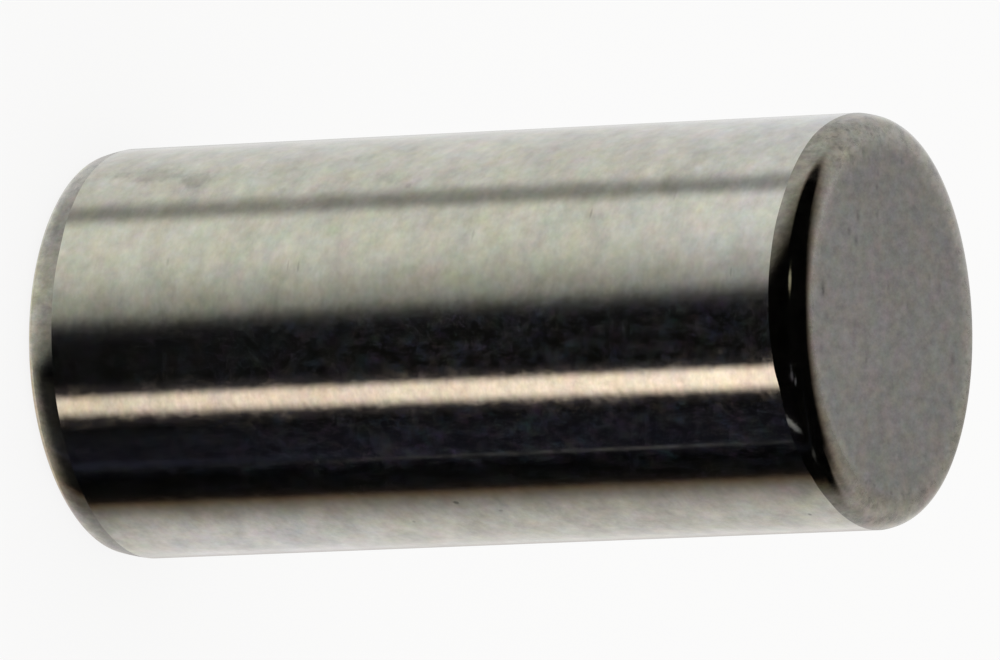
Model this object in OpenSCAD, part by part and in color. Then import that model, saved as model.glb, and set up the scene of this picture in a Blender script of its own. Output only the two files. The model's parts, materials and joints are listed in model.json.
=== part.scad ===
// Dowel pin of hardened steel: a ground wall, and an eased corner at each end.
// It stands on one end: millimetres, +Z up, origin at the centre of the lower end face.
// Both ends are alike, so the pin can be driven in either way up.

/* [Pin] */
// Ground diameter of the wall, the size that fits the reamed hole
pin_d = 6; // [3:0.5:12]
// Length over both end faces
pin_l = 12.5; // [6:0.5:30]

/* [End corners] */
// Axial length of each end corner, from the end face to the crisp edge of the ground wall
corner_len = 0.5; // [0.35:0.05:0.9]
// Slope of the lead taper that starts each corner, in degrees from the pin's axis
lead_angle = 12; // [8:1:20]
// Radius that rolls the lead taper over into the flat end face
corner_r = 0.2; // [0.1:0.05:0.3]
// Turn of the faint edge left where that radius meets the taper and the face, in degrees
edge_angle = 6; // [2:1:8]

/* [Hidden] */
$fn = 96;

pin_r = pin_d / 2;
// radius at which the lead taper would reach the end face, were the corner left sharp
sharp_r = pin_r - corner_len * tan(lead_angle);
// depth of the corner radius's centre below the end face, and below the taper
centre_z = corner_r * cos(edge_angle);
// distance of that centre from the pin's axis
centre_r = sharp_r - centre_z * (1 - sin(lead_angle)) / cos(lead_angle);
// height of the band in which the corner radius is cut
round_h = centre_z * (1 - sin(lead_angle));

// What the corner radius takes off one sharp end corner, in the pin's lengthwise section.
module corner_waste() {
    difference() {
        translate([centre_r, -corner_r])
            square([pin_r, corner_r + round_h]);
        translate([centre_r, centre_z])
            circle(r = corner_r);
    }
}

// Half of the lengthwise section, from the axis out: end faces, corners and the ground wall.
module side_section() {
    difference() {
        polygon([
            [0, 0],
            [sharp_r, 0],
            [pin_r, corner_len],
            [pin_r, pin_l - corner_len],
            [sharp_r, pin_l],
            [0, pin_l]
        ]);
        corner_waste();
        translate([0, pin_l])
            mirror([0, 1])
                corner_waste();
    }
}

// The whole pin, one solid turned from bar.
module dowel_pin() {
    color([0.66, 0.66, 0.62])
        rotate_extrude()
            side_section();
}

dowel_pin();
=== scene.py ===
import bpy, bmesh, json, math, random
from mathutils import Matrix, Vector, noise

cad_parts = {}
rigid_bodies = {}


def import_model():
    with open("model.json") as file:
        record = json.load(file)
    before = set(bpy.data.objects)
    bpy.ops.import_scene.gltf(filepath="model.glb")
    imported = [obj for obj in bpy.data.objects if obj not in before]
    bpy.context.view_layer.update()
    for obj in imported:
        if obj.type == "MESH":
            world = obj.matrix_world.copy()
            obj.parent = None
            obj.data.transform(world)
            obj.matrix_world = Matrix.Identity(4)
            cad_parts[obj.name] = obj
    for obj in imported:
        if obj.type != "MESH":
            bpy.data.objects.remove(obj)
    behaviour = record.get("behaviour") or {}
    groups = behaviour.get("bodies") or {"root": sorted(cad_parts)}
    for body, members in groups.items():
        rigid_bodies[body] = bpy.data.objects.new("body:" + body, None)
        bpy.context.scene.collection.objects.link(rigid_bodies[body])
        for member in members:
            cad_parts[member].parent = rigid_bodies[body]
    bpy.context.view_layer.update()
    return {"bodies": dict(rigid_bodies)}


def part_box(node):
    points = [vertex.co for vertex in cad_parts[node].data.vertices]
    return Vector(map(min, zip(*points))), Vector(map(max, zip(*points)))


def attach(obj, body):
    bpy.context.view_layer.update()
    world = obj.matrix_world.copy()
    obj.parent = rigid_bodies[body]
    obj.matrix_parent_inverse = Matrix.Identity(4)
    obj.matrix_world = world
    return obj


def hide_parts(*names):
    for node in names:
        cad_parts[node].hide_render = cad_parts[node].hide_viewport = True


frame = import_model()


# ---- The dowel pin ----
# A plain pin of hardened steel bar. Both ends are faced, their corners are turned to a slim lead and
# tumbled round, and the wall is ground bright last of all, so that it meets each corner at a crisp edge.
mm = 0.001
micron = 0.001 * mm
pin_low, pin_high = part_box("dowel_pin")
pin_length = pin_high[2] - pin_low[2]
pin_radius = min(pin_high[0], pin_high[1], -pin_low[0], -pin_low[1])
lead_slopes = (math.tan(math.radians(8)), math.tan(math.radians(16)))
corner_steps = 36
corner_crowding = 1.5
face_rings = 76
lead_steps = 8
wall_rows = 14
steps_round = 360
face_sink = 1.4 * micron
face_waviness = 0.8 * micron
broad_waves_per_metre = 3500
fine_waves_per_metre = 9000
rough_rows = face_rings + 8
rough_fade_rows = 16

# How far the crisp edge lies from each end: degrees clockwise from the pin's front, then millimetres.
# The upper lead was turned a little off the wall's axis.
upper_edge_depths = ((-180, 0.33), (-120, 0.29), (-90, 0.29), (-75, 0.30), (-60, 0.315), (-48, 0.345),
                     (-40, 0.375), (-32, 0.405), (-18, 0.41), (-11, 0.445), (0, 0.467), (12, 0.475),
                     (26, 0.472), (40, 0.452), (60, 0.44), (90, 0.36), (130, 0.33), (180, 0.33))
lower_edge_depths = ((-180, 0.44), (-120, 0.47), (-90, 0.49), (-60, 0.50), (-32, 0.51), (0, 0.50),
                     (30, 0.475), (45, 0.44), (60, 0.42), (80, 0.42), (120, 0.43), (180, 0.44))


def from_front(turn):
    """A turn in radians as degrees from the front, between -180 and 180."""
    return (math.degrees(turn) + 180) % 360 - 180


def softened(share):
    """A share from 0 to 1 that starts and ends gently."""
    return share * share * (3 - 2 * share)


def edge_depth(turn, depths):
    """How far from the end the crisp edge lies at a turn of the pin."""
    degrees = from_front(turn)
    for (turn_a, depth_a), (turn_b, depth_b) in zip(depths, depths[1:]):
        if turn_a <= degrees <= turn_b:
            share = softened((degrees - turn_a) / (turn_b - turn_a))
            return (depth_a + (depth_b - depth_a) * share) * mm


def rounded_corner(fullness):
    """Steps inwards across the corner, from the lead, and their rise. A fuller corner is rounder.

    A tight bend that soon fades is added to a broad soft one. Both leans are in degrees.
    """
    tight_lean = 54 - 15 * fullness
    tight_fade = (0.05 + 0.02 * fullness) * mm
    soft_lean = 20 + 15 * fullness
    width = (0.42 + 0.1 * fullness) * mm
    steps = [(0, 0)]
    for step in range(1, corner_steps + 1):
        inwards = width * (step / corner_steps) ** corner_crowding
        between = (inwards + steps[-1][0]) / 2
        lean = tight_lean * math.exp(-between / tight_fade) + soft_lean * (1 - between / width) ** 1.5
        steps.append((inwards, steps[-1][1] + (inwards - steps[-1][0]) * math.tan(math.radians(lean))))
    return steps


def end_profile(edge, fullness):
    """Radius and depth from the middle of an end face out to the wall's edge."""
    corner = rounded_corner(fullness)
    corner_width, bend_depth = corner[-1]
    lead = edge - bend_depth
    start, end = lead_slopes
    bend_outer = pin_radius - lead * (start + end) / 2
    face_radius = bend_outer - corner_width
    points = [(face_radius * i / face_rings, 0) for i in range(1, face_rings + 1)]
    points += [(bend_outer - inwards, bend_depth - risen) for inwards, risen in reversed(corner[:-1])]
    for i in range(1, lead_steps + 1):
        left = 1 - i / lead_steps
        dropped = lead * (start * left + (end - start) * left * left / 2)
        points.append((pin_radius - dropped, edge - lead * left))
    return points


def front_share(turn):
    """1 on the front of the pin and 0 on its back, eased between."""
    back_starts, eased_over = 135, 60
    return softened(min(1, max(0, (back_starts - abs(from_front(turn))) / eased_over)))


# The dents of each end face: place, half width and half height in millimetres, and depth in microns.
# The larger ones of the upper face come first, and small ones lie at random over both.
draw = random.Random(5)
pits_per_face = 30
pitted_reach = 2.6
pit_half_sizes = (0.03, 0.08)
pit_depths = (0.5, 1.8)
pit_raggedness = 0.035 * mm
pit_rags_per_metre = 14000
pit_fades_out = 5
pits = {True: [(-0.48, -2.14, 0.10, 0.06, 3.5), (-1.92, -0.21, 0.05, 0.04, 2.2),
               (-2.12, -0.16, 0.04, 0.04, 2), (-2.31, -0.44, 0.05, 0.04, 2),
               (-1.51, -0.88, 0.06, 0.05, 2), (-1.30, -1.20, 0.05, 0.04, 2),
               (1.74, -2.08, 0.06, 0.05, 3), (1.87, -2.06, 0.05, 0.05, 3)], False: []}
for upper in (True, False):
    for _ in range(pits_per_face):
        far_out = pitted_reach * math.sqrt(draw.random())
        turn = draw.uniform(0, 2 * math.pi)
        pits[upper].append((far_out * math.cos(turn), far_out * math.sin(turn), draw.uniform(*pit_half_sizes),
                            draw.uniform(*pit_half_sizes), draw.uniform(*pit_depths)))


def pitting(x, y, upper):
    """How deep the pits of an end face are at a point, in microns."""
    ragged = Vector((x, y, 0)) * pit_rags_per_metre
    x += noise.noise(ragged) * pit_raggedness
    y += noise.noise(ragged + Vector((0, 0, 7))) * pit_raggedness
    deep = 0
    for pit_x, pit_y, width, height, depth in pits[upper]:
        away = ((x - pit_x * mm) / (width * mm)) ** 2 + ((y - pit_y * mm) / (height * mm)) ** 2
        if away < pit_fades_out:
            deep = max(deep, depth * math.exp(-away))
    return deep


turns = [2 * math.pi * step / steps_round for step in range(steps_round)]
lower_profiles = [end_profile(edge_depth(turn, lower_edge_depths), 0) for turn in turns]
upper_profiles = [end_profile(edge_depth(turn, upper_edge_depths), front_share(turn)) for turn in turns]
end_rows = len(lower_profiles[0])

bm = bmesh.new()
pit_layer = bm.verts.layers.float.new("pitting")


def lay_ring(radii, heights, roughened, upper):
    """One ring of vertices. Roughened is 1 on an end face, which tumbling left pitted and wavy, else 0."""
    ring = []
    for turn, radius, height in zip(turns, radii, heights):
        x, y = -radius * math.sin(turn), -radius * math.cos(turn)
        deep = 0
        if roughened:
            deep = pitting(x, y, upper) * roughened
            waves = noise.noise(Vector((x, y, 0)) * broad_waves_per_metre)
            waves += 0.5 * noise.noise(Vector((x, y, 0.01)) * fine_waves_per_metre)
            sink = roughened * (face_sink + face_waviness * waves) + micron * deep
            height += -sink if upper else sink
        vertex = bm.verts.new((x, y, height))
        vertex[pit_layer] = deep
        ring.append(vertex)
    return ring


def lay_end_ring(row, profiles, end, way, upper):
    """One ring of an end, counted from its middle. Way is 1 where depth runs upwards and -1 where down."""
    points = [profile[row] for profile in profiles]
    roughened = min(1, max(0, (rough_rows - row) / rough_fade_rows))
    return lay_ring([p[0] for p in points], [end + way * p[1] for p in points], roughened, upper)


# The rings run from the middle of the lower face out over its corner, up the wall and back in above.
rings = [lay_end_ring(row, lower_profiles, pin_low[2], 1, False) for row in range(end_rows)]
lower_edge = [profile[-1][1] for profile in lower_profiles]
upper_edge = [pin_length - profile[-1][1] for profile in upper_profiles]
for row in range(1, wall_rows):
    share = row / wall_rows
    heights = [pin_low[2] + low + (high - low) * share for low, high in zip(lower_edge, upper_edge)]
    rings.append(lay_ring([pin_radius] * steps_round, heights, 0, False))
rings += [lay_end_ring(row, upper_profiles, pin_high[2], -1, True) for row in reversed(range(end_rows))]

# The faces between the rings take the wall's finish or the ends', and a fan closes each end's middle.
for number, (ring, after) in enumerate(zip(rings, rings[1:])):
    on_wall = end_rows - 1 <= number < end_rows - 1 + wall_rows
    for step in range(steps_round):
        beside = (step + 1) % steps_round
        face = bm.faces.new((ring[step], after[step], after[beside], ring[beside]))
        face.material_index = 0 if on_wall else 1
for ring, height, sink in ((rings[0], pin_low[2], face_sink), (rings[-1], pin_high[2], -face_sink)):
    middle = bm.verts.new((0, 0, height + sink))
    for step in range(steps_round):
        beside = (step + 1) % steps_round
        face = bm.faces.new((middle, ring[step], ring[beside]))
        face.material_index = 1
bmesh.ops.recalc_face_normals(bm, faces=bm.faces)
for face in bm.faces:
    face.smooth = True

# The two crisp edges, where grinding the wall cut into the corners.
for ring in (rings[end_rows - 1], rings[end_rows - 1 + wall_rows]):
    for step in range(steps_round):
        edge = bm.edges.get((ring[step], ring[(step + 1) % steps_round]))
        edge.smooth = False
pin_mesh = bpy.data.meshes.new("dowel_pin_body")
bm.to_mesh(pin_mesh)
bm.free()
pin = bpy.data.objects.new("dowel_pin_body", pin_mesh)
bpy.context.collection.objects.link(pin)


class Value:
    """One output of a shader node. Arithmetic on it adds Math nodes."""

    def __init__(self, nodes, socket):
        self.nodes, self.socket = nodes, socket

    def __add__(self, other):
        return self.nodes.maths("ADD", self, other)

    def __radd__(self, other):
        return self.nodes.maths("ADD", other, self)

    def __sub__(self, other):
        return self.nodes.maths("SUBTRACT", self, other)

    def __rsub__(self, other):
        return self.nodes.maths("SUBTRACT", other, self)

    def __mul__(self, other):
        return self.nodes.maths("MULTIPLY", self, other)

    def __rmul__(self, other):
        return self.nodes.maths("MULTIPLY", other, self)

    def __truediv__(self, other):
        return self.nodes.maths("DIVIDE", self, other)

    def __neg__(self):
        return self.nodes.maths("MULTIPLY", self, -1)


class Nodes:
    """The shader nodes of one material or of the world."""

    def __init__(self, owner):
        owner.use_nodes = True
        self.tree = owner.node_tree
        self.tree.nodes.clear()

    def add(self, kind, settings=None, *values, output=0, **named):
        """A node of one kind: its settings come first, then its sockets' values or links."""
        made = self.tree.nodes.new("ShaderNode" + kind)
        for key, value in (settings or {}).items():
            if key == "stops":
                while len(made.color_ramp.elements) < len(value):
                    made.color_ramp.elements.new(1.0)
                for element, (position, colour) in zip(made.color_ramp.elements, value):
                    element.position = position
                    element.color = (*colour, 1)
            else:
                setattr(made, key, value)
        pairs = [(made.inputs[i], value) for i, value in enumerate(values) if value is not None]
        pairs += [(made.inputs[name.replace("_", " ")], value) for name, value in named.items()]
        for socket, value in pairs:
            if isinstance(value, Value):
                self.tree.links.new(value.socket, socket)
            else:
                socket.default_value = value
        return Value(self, made.outputs[output]) if made.outputs else None

    def maths(self, operation, *values):
        return self.add("Math", {"operation": operation}, *values)

    def vector(self, operation, *values, **named):
        return self.add("VectorMath", {"operation": operation}, *values, **named)

    def apart(self, vector):
        """The three numbers of a vector."""
        first = self.add("SeparateXYZ", None, vector)
        return [Value(self, socket) for socket in first.socket.node.outputs]

    def eased(self, value, low, high):
        """0 up to low and 1 from high, eased between."""
        return self.add("MapRange", {"interpolation_type": "SMOOTHSTEP"}, value, low, high)

    def mixed(self, share, first, second):
        """The first colour at share 0, the second at share 1."""
        return self.add("Mix", {"data_type": "RGBA"}, share, None, None, None, None, None, first, second,
                        output=2)

    def mottle(self, vector, size, detail=2, roughness=0.55, output=0):
        """Noise with spots of a size in millimetres: one number, or three for x, y and z.

        More detail breaks the spots up finely, and more roughness makes the fine ones stronger.
        """
        sizes = size if isinstance(size, tuple) else (size, size, size)
        stretched = self.vector("MULTIPLY", vector, [1 / (each * mm) for each in sizes])
        return self.add("TexNoise", None, stretched, None, 1.0, detail, roughness, output=output)


def rgb(r, g, b):
    return (r, g, b, 1)


# The wall is centreless ground, which leaves faint hairs round the pin and a fine ripple. Handling then
# leaves it cloudy, with a thin smeared film of oil and dust that shows where it mirrors something dark.
ground = bpy.data.materials.new("ground_wall")
yellowish_steel = rgb(0.50, 0.492, 0.41)
whiter_steel = rgb(0.538, 0.532, 0.48)
g = Nodes(ground)
spot = g.add("TexCoord", output=3)
x, y, z = g.apart(spot)
turn = g.maths("ARCTAN2", -x, -y)
hairs = g.mottle(spot, (0.3, 0.3, 0.04))
ripples = g.mottle(spot, (0.15, 0.15, 0.13), 0)
specks = g.mottle(spot, (0.17, 0.17, 0.15), 1, 0.5)
clouds = g.mottle(spot, (0.75, 0.75, 0.55), 4, 0.74)
bloom = g.mottle(g.vector("ADD", spot, (0.02, 0.03, 0.04)), (0.12, 0.12, 0.14), 2, 0.8)
waves = g.mottle(spot, 0.35, 1)

# Stains, nicks and scuffs: degrees clockwise from the front, then in millimetres the height, half width
# round the pin and half length along it, and last the strength.
wall_marks = ((59.6, 1.46, 0.22, 0.68, 0.17), (56.3, 2.3, 0.2, 0.24, 0.17), (63.4, 4.91, 0.18, 0.24, 0.11),
              (52.4, 5.42, 0.15, 0.2, 0.12), (48.9, 3.82, 0.1, 0.07, 0.12), (48.8, 5.89, 0.06, 0.06, 0.14),
              (-51.3, 6.37, 0.035, 0.045, 0.5), (-59.9, 5.49, 0.035, 0.03, 0.3),
              (-55.9, 6.99, 0.03, 0.04, 0.3), (-65.1, 11.71, 0.05, 0.03, 0.5), (22.8, 4.45, 0.09, 0.018, 0.2),
              (23.3, 4.28, 0.1, 0.018, 0.2), (35.1, 9.03, 0.08, 0.018, 0.25), (15.3, 11.42, 0.08, 0.018, 0.2),
              (30.0, 7.2, 0.12, 0.02, 0.12), (40.0, 10.3, 0.1, 0.02, 0.12), (26.0, 2.3, 0.1, 0.025, 0.12))
soiled = 0
for mark_turn, mark_height, reach_round, reach_along, strength in wall_marks:
    off_round = (turn - math.radians(mark_turn)) * (pin_radius / (reach_round * mm))
    off_along = (z - mark_height * mm) / (reach_along * mm)
    away = g.maths("SQRT", off_round * off_round + off_along * off_along) + (clouds - 0.5) * 2.5
    soiled = soiled + (1 - g.eased(away, 0.3, 1.15)) * strength

tint = g.vector("MULTIPLY_ADD", g.mottle(spot, 0.38, 3, 0.75, output=1), (0.3, 0.22, 0.38),
                (0.85, 0.89, 0.81))
underside = 1 - g.eased(turn, math.radians(-62), math.radians(-50))
uneven = (clouds - 0.5) * (0.8 + 0.4 * underside) + (specks - 0.5) * 0.24
shade = (1 + uneven + (hairs - 0.5) * 0.07) * (1 - soiled)
whiter = g.eased(z, 8.5 * mm, 12 * mm) * g.eased(turn, 0, 0.2)
whiter = whiter + (g.eased(z, 0.8 * mm, 1.6 * mm) - g.eased(z, 3.5 * mm, 5.5 * mm)) * underside
steel = g.mixed(whiter, yellowish_steel, whiter_steel)
colour = g.vector("SCALE", g.vector("MULTIPLY", steel, tint), Scale=shade)
at_side = g.eased(g.maths("ABSOLUTE", turn), math.radians(26), math.radians(50))
relief = (waves * 0.35 + ripples * 0.42 + hairs * 0.04) * (1 - 0.75 * at_side) * micron
bump = g.add("Bump", None, Strength=1.0, Distance=1.0, Height=relief)
hazy = 0.05 + g.eased(g.mottle(spot, (0.16, 0.16, 0.26), 3, 0.7), 0.36, 0.78) * 0.09
metal = g.add("BsdfPrincipled", None, Base_Color=colour, Metallic=1.0, Roughness=hazy, Normal=bump)
film_tint = g.vector("MULTIPLY_ADD", g.mottle(spot, 0.24, 2, 0.6, output=1), (0.95, 0.75, 1.1),
                     (0.055, 0.165, 0.12))
film = g.add("BsdfPrincipled", None, Base_Color=film_tint, Roughness=1.0, Specular_IOR_Level=0.0)
wiped = 1 - g.eased(turn, math.radians(-38), math.radians(-34.5))
handled = (0.32 + 0.68 * g.eased(z, 1.5 * mm, 6 * mm)) * (1 - 0.65 * wiped)
smears = g.mottle(spot, (0.3, 0.3, 0.6), 4, 0.74)
cloudy = g.eased(smears * 1.3 - 0.15 + (bloom - 0.5) * 0.8, 0.28, 0.86)
filmed = 0.001 + cloudy * (0.2 + specks * 1.6) * handled * 0.0235
g.add("OutputMaterial", None, g.add("MixShader", None, filmed, metal, film))

# The ends are tumbled with the other pins of their batch before the wall is ground. That dulls the
# turned corners unevenly and leaves the faces matt, finely pitted and a little darker.
tumbled = bpy.data.materials.new("tumbled_end")
outer_lead_steel = rgb(0.266, 0.258, 0.217)
corner_steel = rgb(0.282, 0.266, 0.226)
face_edge_steel = rgb(0.25, 0.237, 0.21)
face_steel = rgb(0.215, 0.207, 0.191)
g = Nodes(tumbled)
spot = g.add("TexCoord", output=3)
x, y, z = g.apart(spot)
from_axis = g.maths("SQRT", x * x + y * y)
grain = g.mottle(spot, (0.06, 0.13, 0.06))
clouds = g.mottle(spot, (0.15, 0.32, 0.22), 3, 0.74)
blotch = g.mottle(g.vector("ADD", spot, (0.02, 0.03, 0.04)), 0.26, 3)
pit = g.add("Attribute", {"attribute_name": "pitting"}, output=2)
turn = g.maths("ARCTAN2", -x, -y)
dulled = g.eased(g.maths("ABSOLUTE", turn + math.radians(2)) + (blotch - 0.5) * 0.5, math.radians(46),
                 math.radians(68))
inside_rim = 1 - g.eased(from_axis + (blotch - 0.5) * (0.08 * mm), 2.86 * mm, 2.94 * mm)
on_face = 1 - g.eased(from_axis + (blotch - 0.5) * (0.16 * mm), 2.46 * mm, 2.66 * mm)
on_flat = 1 - g.eased(from_axis + (blotch - 0.5) * (0.3 * mm), 2.3 * mm, 2.52 * mm)
tint = g.vector("MULTIPLY_ADD", g.mottle(spot, (0.34, 0.56, 0.34), 4, 0.8, output=1), (0.46, 0.34, 0.5),
                (0.77, 0.83, 0.75))
corner_colour = g.mixed(inside_rim, outer_lead_steel, corner_steel)
face_colour = g.mixed(on_flat, face_edge_steel, face_steel)
colour = g.mixed(on_face, corner_colour, face_colour)
# Painted light: inside the lead, the lower end beside the floor is painted up to seven tenths lighter.
painted_light_lower_end = (1 - g.eased(z, 2 * mm, 4 * mm)) * (1 - g.eased(from_axis, 2.91 * mm, 2.97 * mm))
stained = g.eased(g.mottle(spot, (0.15, 0.2, 0.15), 2, 0.6), 0.54, 0.7) * (1 - on_flat)
stained = stained * dulled * (1 - g.eased(g.maths("ABSOLUTE", turn), math.radians(80), math.radians(120)))
# The pits are painted darker the deeper they lie: painted shade in the pits.
shade = (1 + (clouds - 0.5) * (1.2 + dulled * (1 - on_face) * 0.5)) * (1 - 0.2 * pit)
shade = shade * (1 + 0.7 * painted_light_lower_end) * (1 - 0.28 * stained)
colour = g.vector("SCALE", g.vector("MULTIPLY", colour, tint), Scale=shade)
roughness = 0.08 + (clouds - 0.5) * 0.12 + dulled * 0.2 + on_face * (0.25 - dulled * 0.15) + on_flat * 0.15
metallic = 1 - on_face * 0.15 - on_flat * 0.3
relief = (grain * 0.5 + clouds * 1.6) * (0.5 * micron + on_face * (1.6 * micron))
bump = g.add("Bump", None, Strength=1.0, Distance=1.0, Height=relief)
metal = g.add("BsdfPrincipled", None, Base_Color=colour, Metallic=metallic, Roughness=roughness, Normal=bump)
g.add("OutputMaterial", None, metal)

pin_mesh.materials.append(ground)
pin_mesh.materials.append(tumbled)
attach(pin, list(frame["bodies"])[0])
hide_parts("dowel_pin")


# ---- The floor ----
# A wide sheet of plain white paper, laid flat. The pin stands on it, and the paper keeps a faint shadow
# round the pin's foot.
floor_half = 0.3
shadow_share = 0.1
paper_white = rgb(0.965, 0.963, 0.96)
floor_mesh = bpy.data.meshes.new("floor")
bm = bmesh.new()
bmesh.ops.create_grid(bm, x_segments=1, y_segments=1, size=floor_half)
bm.to_mesh(floor_mesh)
bm.free()
floor = bpy.data.objects.new("floor", floor_mesh)
floor.location.z = pin_low[2]
bpy.context.collection.objects.link(floor)
paper = bpy.data.materials.new("white_paper")
g = Nodes(paper)
matt = g.add("BsdfDiffuse", None, paper_white)
bright = g.add("Emission", None, paper_white, 1.0)
seen = g.add("LightPath", output=0)
g.add("OutputMaterial", None, g.add("MixShader", None, seen * (1 - shadow_share), matt, bright))
floor_mesh.materials.append(paper)
floor.visible_glossy = False


# ---- The light ----
# An even white light from all round. What is mirrored in the metal is a light tent: a white table whose
# far side curves up into a white wall, a dark opening in front and above, and in the opening a warm
# strip lamp and a few small dim lamps.
world = bpy.data.worlds.new("light_tent")
bpy.context.scene.world = world
g = Nodes(world)
x, y, z = g.apart(g.add("TexCoord", output=0))
around = g.maths("ARCTAN2", -x, -y) * (180 / math.pi)
above = g.maths("ARCSINE", z) * (180 / math.pi)
sideways = g.maths("ABSOLUTE", around)

# The colours of the tent in degrees clockwise from the front, at the height that the pin's wall mirrors:
# first the table on the right, then the dark opening in front, then the table and wall on the left.
table_stops = ((-180, (0.44, 0.43, 0.41)), (-170, (0.71, 0.68, 0.67)), (-160, (0.92, 0.9, 0.91)),
               (-138, (0.83, 0.81, 0.83)), (-124, (0.76, 0.74, 0.77)), (-117, (0.69, 0.67, 0.69)),
               (-110, (0.55, 0.525, 0.54)), (-104, (0.39, 0.365, 0.37)), (-100, (0.275, 0.25, 0.245)),
               (-96, (0.185, 0.15, 0.12)), (-94, (0.128, 0.092, 0.065)), (-92, (0.040, 0.027, 0.02)),
               (-90, (0.012, 0.009, 0.008)), (-86, (0.004, 0.004, 0.004)), (-75, (0.001, 0.001, 0.001)),
               (-62, (0.0085, 0.0085, 0.0145)), (-48, (0.008, 0.008, 0.012)), (-41, (0.003, 0.003, 0.003)),
               (0, (0.006, 0.006, 0.006)), (8, (0.006, 0.006, 0.007)), (13, (0.014, 0.014, 0.017)),
               (17, (0.055, 0.055, 0.058)), (20, (0.145, 0.145, 0.145)), (23, (0.28, 0.28, 0.275)),
               (26, (0.41, 0.41, 0.40)), (34, (0.57, 0.57, 0.55)), (46, (0.83, 0.83, 0.82)),
               (62, (1.0, 1.0, 0.985)), (100, (0.92, 0.92, 0.93)), (140, (0.94, 0.94, 0.98)),
               (168, (0.9, 0.9, 0.91)), (180, (0.52, 0.515, 0.49)))


def clamp(value, low, high):
    return g.maths("MINIMUM", g.maths("MAXIMUM", value, low), high)


# Higher or lower than that, the edges of the opening run aslant.
slant = clamp((above + 26.7) * 1.35, -15, 8) + clamp((above + 10) * 1.05, 0, 26)
slant = slant + clamp((above + 43) * 0.9, -10, 0)
slant = slant * g.eased(around, -60, -10) - clamp((above + 32) * -0.8, 0, 7) * g.eased(-around, 97, 107)
stops = [((degrees + 180) / 360, colour) for degrees, colour in table_stops]
table = g.add("ValToRGB", {"stops": stops}, (around - slant + 180) / 360)

# The roof of the tent is dark, and its lower edge rises towards the back. Under the pin the tent is
# white again, and a seam, a few brighter panels and the warm side of the paper break it up.
front_roof = 6 * g.eased(around, 24, 60) + 14 * g.eased(-around, 60, 96) - 2.5 * g.eased(around, -40, -4) - 4
side_roof = 49 * g.eased(around, 72, 140) + 35 * g.eased(-around, 92, 132) - 6 * g.eased(around, 156, 180)
roof = front_roof + side_roof
open_share = 1 - g.eased(above - roof, -13, 13)
open_colour = g.mixed(open_share, rgb(1.0, 0.86, 0.72), rgb(1, 1, 1))
under_edge = 5.8 * g.eased(-around, 45, 105) - 4 * (1 - g.eased(sideways, 10, 70))
under = 1 - g.eased(above - under_edge, -66, -48)
panels = (g.eased(sideways, 136, 160) - g.eased(sideways, 170, 180)) * g.eased(above, -24, -14)
panels = panels * (1 - g.eased(above, 0, 12)) * 0.45
panels = panels + g.eased(around, 105, 135) * (1 - g.eased(above, -33, -28)) * 0.3
at_wall = g.eased(above, -36, -30) * (1 - g.eased(above, -20, -12) * 0.85)
seam = 1 - 0.59 * at_wall * (g.eased(around, 75.3, 85.6) - g.eased(around, 87, 99.5))
lit = g.vector("SCALE", g.vector("MULTIPLY", table, open_colour), Scale=open_share)
paper_side = g.mixed(g.eased(around, -90, 0), rgb(0.95, 0.85, 0.74), rgb(0.85, 0.84, 0.8))
lit = g.vector("SCALE", g.mixed(under, lit, paper_side), Scale=seam * (1 + panels))

# The strip lamp with its haze, a thin bright edge beside it, and faint gleams low in the opening.
level = above + 26.65
strip_rise = g.eased(above, -42, -34) * (1 - g.eased(above, -20, -14))
strip = g.eased(around + level * 0.45, -37.1, -29.5) * (1 - g.eased(around - level * 0.45, -25.7, -19.5))
strip = strip * strip_rise * clamp(1 + 0.17 * level, 0.5, 1.4)
halo = g.eased(around, -43, -33) * (1 - g.eased(around, -22, -14)) * strip_rise
thread = (1 - g.eased(g.maths("ABSOLUTE", around + 67.7), 0.1, 1.9)) * (1 - g.eased(
    g.maths("ABSOLUTE", above + 26.42), 0.1, 0.75))
foot_gleam = 1 - g.eased(g.maths("ABSOLUTE", around + 64.9), 0.3, 4)
foot_gleam = foot_gleam * (2 - g.eased(above, -27.2, -26.8) - g.eased(above, -27.75, -27.5))
low_gleam = clamp((above + 36.5) * -0.0038, 0, 0.045) * (g.eased(-around, 8, 25) - g.eased(-around, 78, 95))
band = (1 - g.eased(g.maths("ABSOLUTE", around + 66.5), 0.5, 3.5)) * g.eased(above, -26.5, -25.7)


def lamp(turn, rise, wide, high, tilt=0):
    """A soft oval lamp: its place, half width and half height in degrees, and how far it leans."""
    across, up = around - turn, above - rise - (around - turn) * tilt
    return 1 - g.eased(g.maths("SQRT", across * across / wide ** 2 + up * up / high ** 2), 0.3, 1)


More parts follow.
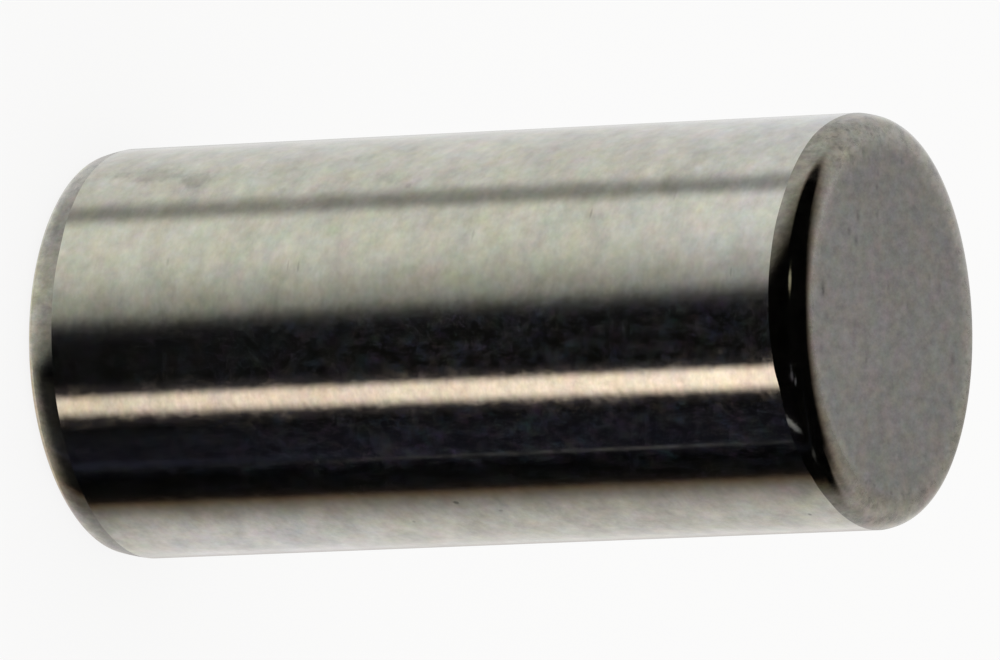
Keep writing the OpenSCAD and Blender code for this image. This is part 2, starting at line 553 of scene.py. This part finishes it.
lamps = (((1.66, 1.4, 1.28), strip), ((0.036, 0.032, 0.038), halo), ((0.078, 0.078, 0.082), thread),
         ((0.0068, 0.0078, 0.014), foot_gleam), ((0.008, 0.009, 0.014), band), ((1, 1, 1), low_gleam),
         ((0.62, 0.59, 0.45), lamp(26, 31, 8.5, 14)),
         ((0.19, 0.2, 0.24), lamp(-30.5, 32, 3.6, 12)), ((0.15, 0.15, 0.19), lamp(-24.5, 15, 3.4, 12)),
         ((0.49, 0.51, 0.58), lamp(-53.5, -7.5, 7, 5.5, -1.3)), ((0.09, 0.09, 0.1), lamp(-74, 16, 5, 14)))
for lamp_colour, strength in lamps:
    lit = g.vector("ADD", lit, g.vector("SCALE", lamp_colour, Scale=strength))
mirrored = g.add("Background", None, lit, 1.0)
plain = g.add("Background", None, rgb(1, 1, 1), 1.0)
backdrop = g.add("Background", None, paper_white, 1.0)
glossy = g.add("LightPath", output=3)
seen = g.add("LightPath", output=0)
lighting = g.add("MixShader", None, glossy, plain, mirrored)
g.add("OutputWorld", None, g.add("MixShader", None, seen, lighting, backdrop))
bpy.context.scene.view_settings.view_transform = "Standard"


# ---- The camera ----
# It looks down on the standing pin from a long way off, and is rolled almost a quarter turn, so that
# the pin lies across the picture with its upper end to the right.
look_down = math.radians(26.66)
roll = math.radians(90 - 2.56)
camera_distance = 0.2739
picture_width = 0.01447
aim_right, aim_up = 0.0043 * mm, 0.1155 * mm
sensor_width = 36
camera_data = bpy.data.cameras.new("camera")
camera_data.sensor_width = sensor_width
camera_data.lens = sensor_width * camera_distance / picture_width
camera_data.clip_start = 0.01
camera_data.clip_end = 10
camera = bpy.data.objects.new("camera", camera_data)
bpy.context.collection.objects.link(camera)
bpy.context.scene.camera = camera
turned = Matrix.Rotation(math.pi / 2 - look_down, 4, "X") @ Matrix.Rotation(roll, 4, "Z")
axes = turned.to_3x3()
picture_right, picture_up, backwards = axes.col[0], axes.col[1], axes.col[2]
pin_middle = (Vector(pin_low) + Vector(pin_high)) / 2
aim = pin_middle + aim_right * picture_right + aim_up * picture_up
camera.matrix_world = Matrix.Translation(aim + camera_distance * backwards) @ turned
